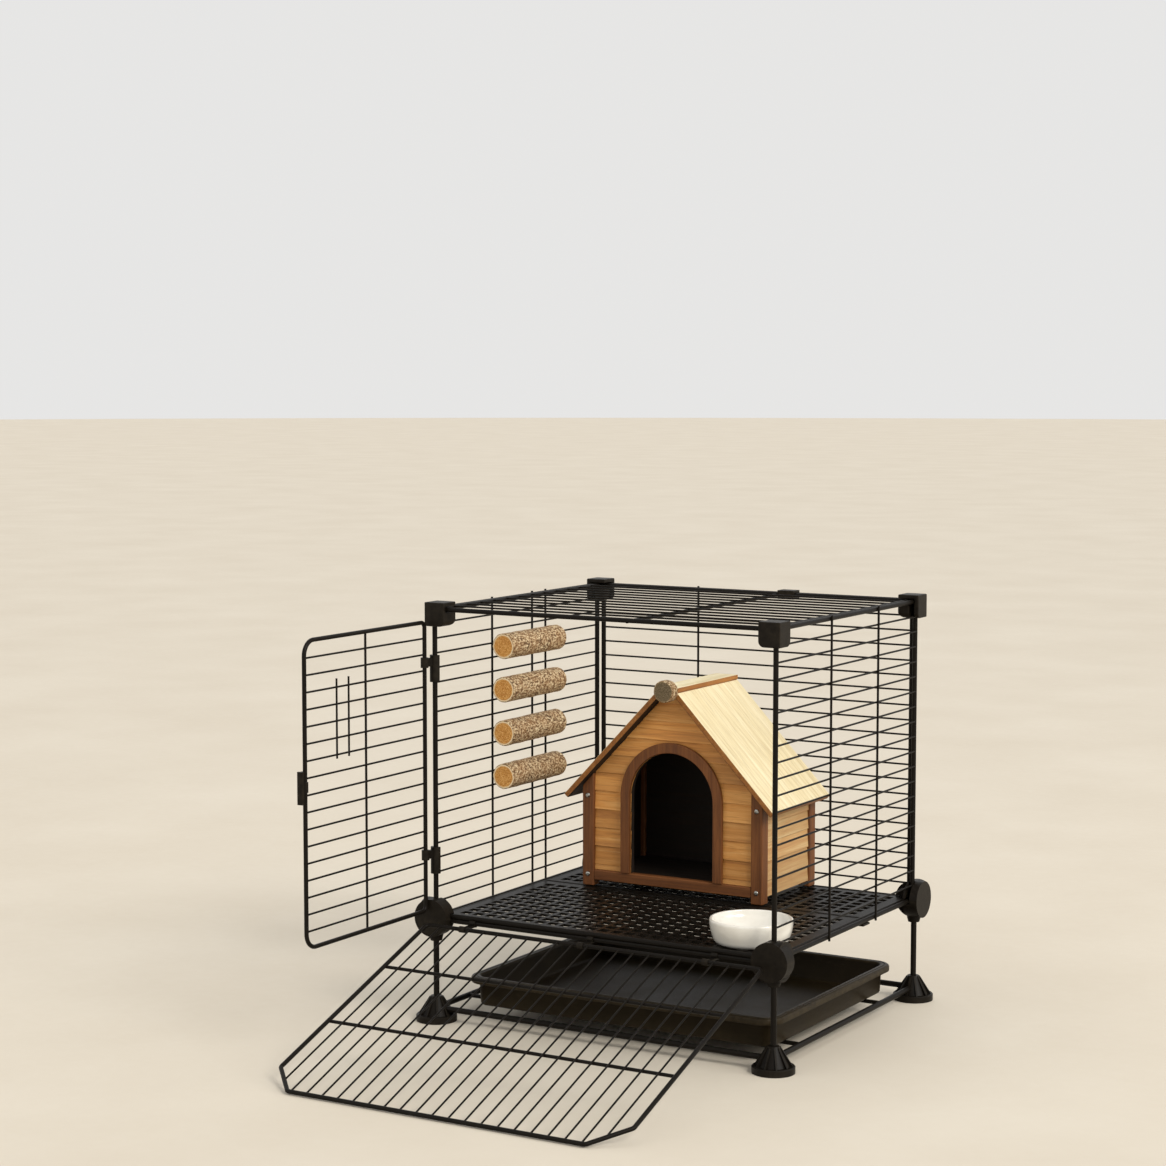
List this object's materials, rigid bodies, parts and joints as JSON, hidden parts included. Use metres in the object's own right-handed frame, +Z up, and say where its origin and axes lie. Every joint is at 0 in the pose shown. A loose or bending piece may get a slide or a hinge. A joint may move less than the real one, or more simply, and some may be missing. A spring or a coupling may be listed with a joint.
{
  "type": "rabbit hutch",
  "caption": "Wire small-pet cabin on legs with a swing door, fold-up ramp, slide-out tray, wooden house, chew logs and a bowl.",
  "frame": {"origin": "centre of the whole footprint at ground level, with the door open and the ramp down", "axes": "+X to the right seen from the front, +Y from the front to the back, +Z up"},
  "size_m": [0.499, 0.7596, 0.5035],
  "materials": {
    "black_wire": "satin powder coat",
    "connector_plastic": "fine moulded grain",
    "tray_plastic": "satin moulded",
    "zinc": "zinc plated",
    "log_bark": "speckled bark with sawn ends",
    "house_plank": "honey stained boards",
    "pale_pine": "pale sanded pine",
    "dark_trim": "brown stained",
    "white_glaze": "glazed stoneware"
  },
  "bodies": {
    "cage": {"left_panel": "black_wire", "right_panel": "black_wire", "back_panel": "black_wire", "top_panel": "black_wire", "floor_panel_front": "black_wire", "floor_panel_rear": "black_wire", "front_floor_rail": "black_wire", "leg_front_left": "black_wire", "leg_front_right": "black_wire", "leg_rear_left": "black_wire", "leg_rear_right": "black_wire", "base_rail_front": "black_wire", "base_rail_rear": "black_wire", "base_rail_left": "black_wire", "base_rail_right": "black_wire", "tray_runners": "black_wire", "floor_seam_clips": "connector_plastic", "top_mid_clip": "connector_plastic", "foot_front_left": "connector_plastic", "foot_front_right": "connector_plastic", "foot_rear_left": "connector_plastic", "foot_rear_right": "connector_plastic", "disc_connector_front_left": "connector_plastic", "disc_connector_front_right": "connector_plastic", "disc_connector_rear_left": "connector_plastic", "disc_connector_rear_right": "connector_plastic", "top_connector_front_left": "connector_plastic", "top_connector_front_right": "connector_plastic", "top_connector_rear_left": "connector_plastic", "top_connector_rear_right": "connector_plastic", "door_hinge_upper": "connector_plastic", "door_hinge_lower": "connector_plastic", "ramp_hinge_clips": "connector_plastic", "log_studs": "zinc", "log_washers": "zinc", "log_wing_nuts": "zinc", "chew_log_1": "log_bark", "chew_log_2": "log_bark", "chew_log_3": "log_bark", "chew_log_4": "log_bark"},
    "door": {"door_panel": "black_wire"},
    "latch": {"door_latch": "connector_plastic"},
    "ramp": {"ramp_panel": "black_wire"},
    "tray": {"tray": "tray_plastic"},
    "house": {"house_screws": "zinc", "house_ridge_log": "log_bark", "house_front_wall": "house_plank", "house_rear_wall": "house_plank", "house_left_wall": "pale_pine", "house_right_wall": "pale_pine", "house_roof_left": "pale_pine", "house_roof_right": "pale_pine", "house_ridge_board": "pale_pine", "house_floor": "dark_trim", "house_front_posts": "dark_trim", "house_rear_posts": "dark_trim", "house_front_sill": "dark_trim", "house_arch_trim": "dark_trim"},
    "bowl": {"bowl": "white_glaze"}
  },
  "joints": [
    {"name": "door_swing", "type": "hinge", "parent": "cage", "child": "door", "pos_m": [-0.229, -0.04666, 0.308], "axis": [0, 0, 1], "range_deg": [-90, 90]},
    {"name": "latch_turn", "type": "hinge", "parent": "door", "child": "latch", "pos_m": [-0.229, -0.28266, 0.3175], "axis": [0, 0, 1], "range_deg": [0, 75]},
    {"name": "ramp_fold", "type": "hinge", "parent": "cage", "child": "ramp", "pos_m": [0, -0.05416, 0.1205], "axis": [-1, 0, 0], "range_deg": [0, 109.95]},
    {"name": "tray_slide", "type": "slide", "parent": "cage", "child": "tray", "axis": [1, 0, 0], "range_m": [0, 0.42]},
    {"name": "house_lift", "type": "slide", "parent": "cage", "child": "house", "axis": [0, 0, 1], "range_m": [0, 0.08]},
    {"name": "bowl_lift", "type": "slide", "parent": "cage", "child": "bowl", "axis": [0, 0, 1], "range_m": [0, 0.08]}
  ]
}
